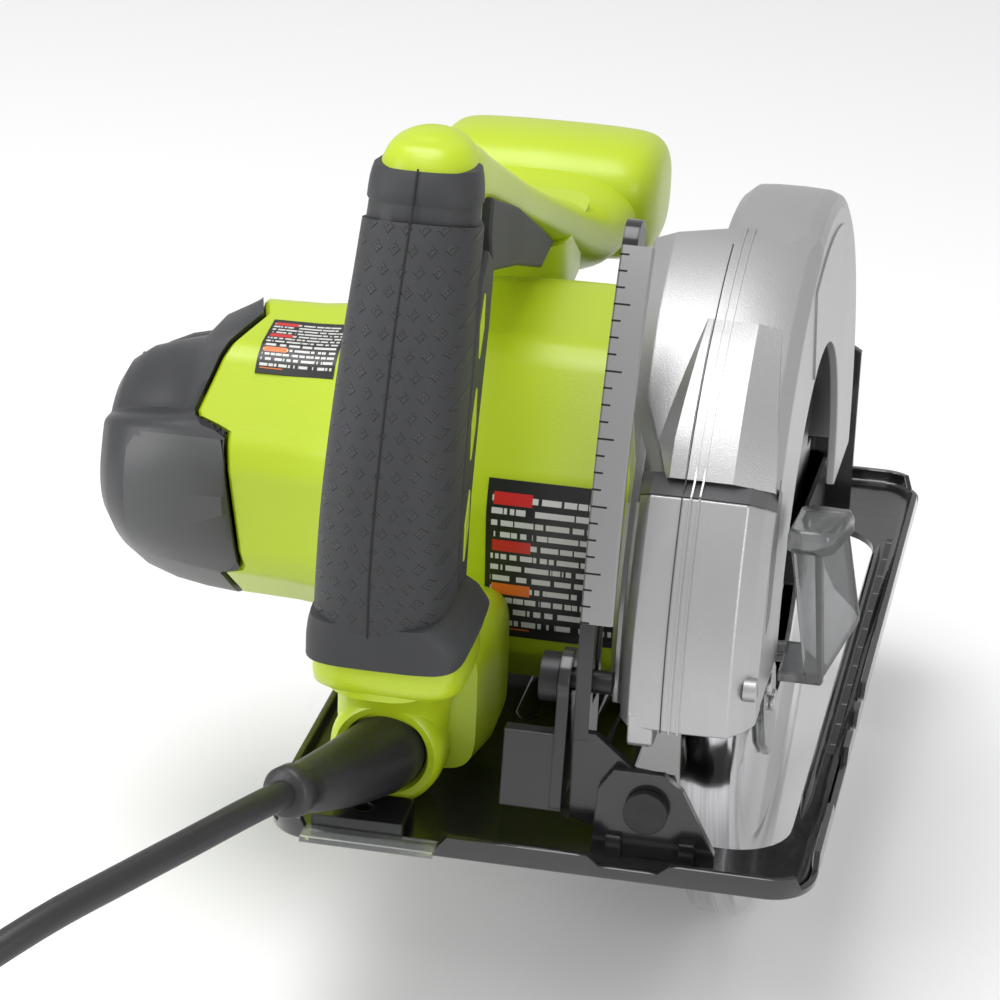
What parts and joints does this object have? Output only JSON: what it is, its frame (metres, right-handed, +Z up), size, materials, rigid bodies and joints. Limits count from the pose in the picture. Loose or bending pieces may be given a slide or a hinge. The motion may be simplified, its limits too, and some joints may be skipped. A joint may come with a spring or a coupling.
{
  "type": "corded circular saw",
  "caption": "Corded circular saw with a tilting, depth-adjustable base plate, sprung lower blade guard, D-shaped rear handle, front handle and side-mounted motor.",
  "frame": {"origin": "centre of the base plate's underside, the sole that slides on the work", "axes": "+X towards the blade side, +Y the cutting direction, +Z up"},
  "size_m": [0.2368, 0.569, 0.245],
  "materials": {
    "black_steel": "glossy black paint over pressed steel",
    "clear_window": "smoky clear plastic",
    "dark_hardware": "black moulded plastic and blackened screws",
    "cast_alloy": "fine-grained silver paint over a die casting",
    "polished_steel": "polished, plated steel sheet",
    "smoky_plastic": "smoky, partly see-through plastic",
    "blade_steel": "ground steel",
    "machined_steel": "turned steel",
    "bearing_steel": "ground bearing steel",
    "copper_windings": "steel laminations with varnished copper windings",
    "brass_fittings": "drawn brass",
    "carbon": "dull carbon",
    "lime_plastic": "satin lime-green moulded plastic",
    "dark_plastic": "dark grey moulded plastic with a slight sheen",
    "rubber_grip": "soft dark grey overmoulded rubber",
    "label": "printed label stock",
    "cord_rubber": "black cord sheath"
  },
  "bodies": {
    "shoe": {"base_plate": "black_steel", "rear_bevel_bracket": "black_steel", "front_bevel_bracket": "black_steel", "bracket_rivets": "black_steel", "guide_bridges": "black_steel", "guide_window": "clear_window"},
    "guide_screw": {"guide_screw": "dark_hardware"},
    "bevel_frame": {"front_pivot_plate": "black_steel", "depth_arm": "black_steel", "bevel_pins": "dark_hardware", "depth_pin": "machined_steel"},
    "bevel_knob": {"bevel_knob": "dark_hardware"},
    "saw_body": {"depth_bolt": "dark_hardware", "upper_guard": "cast_alloy", "guard_side_plate": "cast_alloy", "guard_screws": "polished_steel", "guard_ring": "polished_steel", "guard_spring": "polished_steel", "output_bearing": "bearing_steel", "inner_bearing": "bearing_steel", "gear_case": "cast_alloy", "front_bearing": "bearing_steel", "rear_bearing": "bearing_steel", "stator": "copper_windings", "motor_housing": "lime_plastic", "motor_cap": "dark_plastic", "cap_screws": "dark_hardware", "brush_holders": "brass_fittings", "carbon_brushes": "carbon", "brush_springs": "machined_steel", "handle_left": "lime_plastic", "handle_right": "lime_plastic", "grip_left": "rubber_grip", "grip_right": "rubber_grip", "neck_pad": "rubber_grip", "handle_screws": "dark_hardware", "switch_body": "dark_plastic", "trigger_spring": "machined_steel", "label_plates": "label", "cord_boot": "cord_rubber", "cord_clamp": "dark_plastic", "power_cord": "cord_rubber", "cord_coil": "cord_rubber", "power_plug": "cord_rubber"},
    "depth_lever": {"depth_lever": "black_steel"},
    "spindle": {"blade": "blade_steel", "inner_flange": "machined_steel", "outer_flange": "machined_steel", "blade_bolt": "dark_hardware", "output_shaft": "machined_steel", "drive_gear": "machined_steel"},
    "armature": {"armature_shaft": "machined_steel", "armature_core": "copper_windings", "commutator": "copper_windings", "cooling_fan": "dark_plastic"},
    "lower_guard": {"lower_guard": "polished_steel", "lower_guard_lever": "smoky_plastic", "lever_rivets": "polished_steel"},
    "trigger": {"trigger": "dark_hardware"},
    "spindle_lock": {"spindle_lock": "dark_hardware"}
  },
  "joints": [
    {"name": "bevel", "type": "hinge", "parent": "shoe", "child": "bevel_frame", "pos_m": [0.027, 0, 0.016], "axis": [0, 1, 0], "range_deg": [0, 45]},
    {"name": "depth", "type": "hinge", "parent": "bevel_frame", "child": "saw_body", "pos_m": [0.027, 0.104, 0.024], "axis": [-1, 0, 0], "range_deg": [0, 26]},
    {"name": "bevel_knob_turn", "type": "hinge", "parent": "bevel_frame", "child": "bevel_knob", "pos_m": [-0.00058, 0.118, 0.03914], "axis": [0, 1, 0], "range_deg": [0, 180]},
    {"name": "guide_screw_turn", "type": "hinge", "parent": "shoe", "child": "guide_screw", "pos_m": [-0.047, 0.128, 0.006], "axis": [0, 0, 1], "continuous": true},
    {"name": "depth_lever_lift", "type": "hinge", "parent": "saw_body", "child": "depth_lever", "pos_m": [0, -0.11698, 0.04528], "axis": [-1, 0, 0], "range_deg": [0, 45]},
    {"name": "spindle_spin", "type": "hinge", "parent": "saw_body", "child": "spindle", "pos_m": [0.04, -0.01, 0.037], "axis": [1, 0, 0], "continuous": true},
    {"name": "armature_spin", "type": "hinge", "parent": "saw_body", "child": "armature", "pos_m": [-0.04, -0.025, 0.06], "axis": [1, 0, 0], "continuous": true},
    {"name": "lower_guard_swing", "type": "hinge", "parent": "saw_body", "child": "lower_guard", "pos_m": [0.038, -0.01, 0.037], "axis": [-1, 0, 0], "range_deg": [0, 110], "stiffness_Nm_per_rad": 0.25, "springref_deg": -68.75},
    {"name": "trigger_press", "type": "hinge", "parent": "saw_body", "child": "trigger", "pos_m": [-0.044, -0.097, 0.147], "axis": [-1, 0, 0], "range_deg": [0, 8], "stiffness_Nm_per_rad": 1.2, "springref_deg": -5.73},
    {"name": "spindle_lock_press", "type": "slide", "parent": "saw_body", "child": "spindle_lock", "axis": [0, -0.766, -0.6428], "range_m": [0, 0.003], "stiffness_N_per_m": 700, "springref_m": -0.002}
  ],
  "couplings": [
    {"joint": "armature_spin", "follows": "spindle_spin", "ratio": -4.5}
  ]
}
